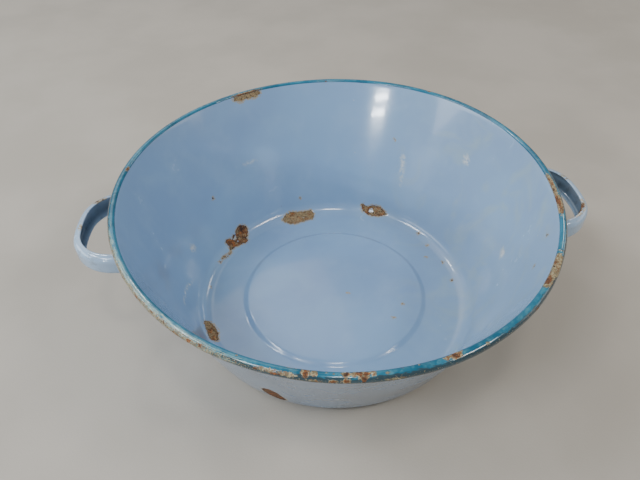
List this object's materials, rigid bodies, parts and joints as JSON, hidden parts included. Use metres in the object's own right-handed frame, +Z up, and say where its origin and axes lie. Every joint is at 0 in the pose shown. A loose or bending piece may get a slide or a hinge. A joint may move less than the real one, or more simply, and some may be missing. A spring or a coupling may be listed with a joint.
{
  "type": "enamelled steel dish basin",
  "caption": "Round flared enamel wash basin with a flat raised-centre base, rolled wired rim and a fixed channel loop handle on each side.",
  "frame": {"origin": "on the bowl's axis, at table height, in the plane that the base rests on", "axes": "+X towards the right handle, +Y across the handles, +Z up along the bowl's axis"},
  "size_m": [0.4682, 0.4, 0.1455],
  "materials": {
    "blue_enamel": "gloss vitreous enamel on steel, chipped to rust in places",
    "teal_enamel": "gloss vitreous enamel, second coat, worn pale along the edge",
    "bare_steel": "plain mild steel, sealed in"
  },
  "bodies": {
    "root": {"basin_bowl": "blue_enamel", "rim_band_coat": "teal_enamel", "rim_wire": "bare_steel", "left_handle": "blue_enamel", "right_handle": "blue_enamel", "left_handle_spot_welds": "bare_steel", "right_handle_spot_welds": "bare_steel"}
  },
  "joints": []
}
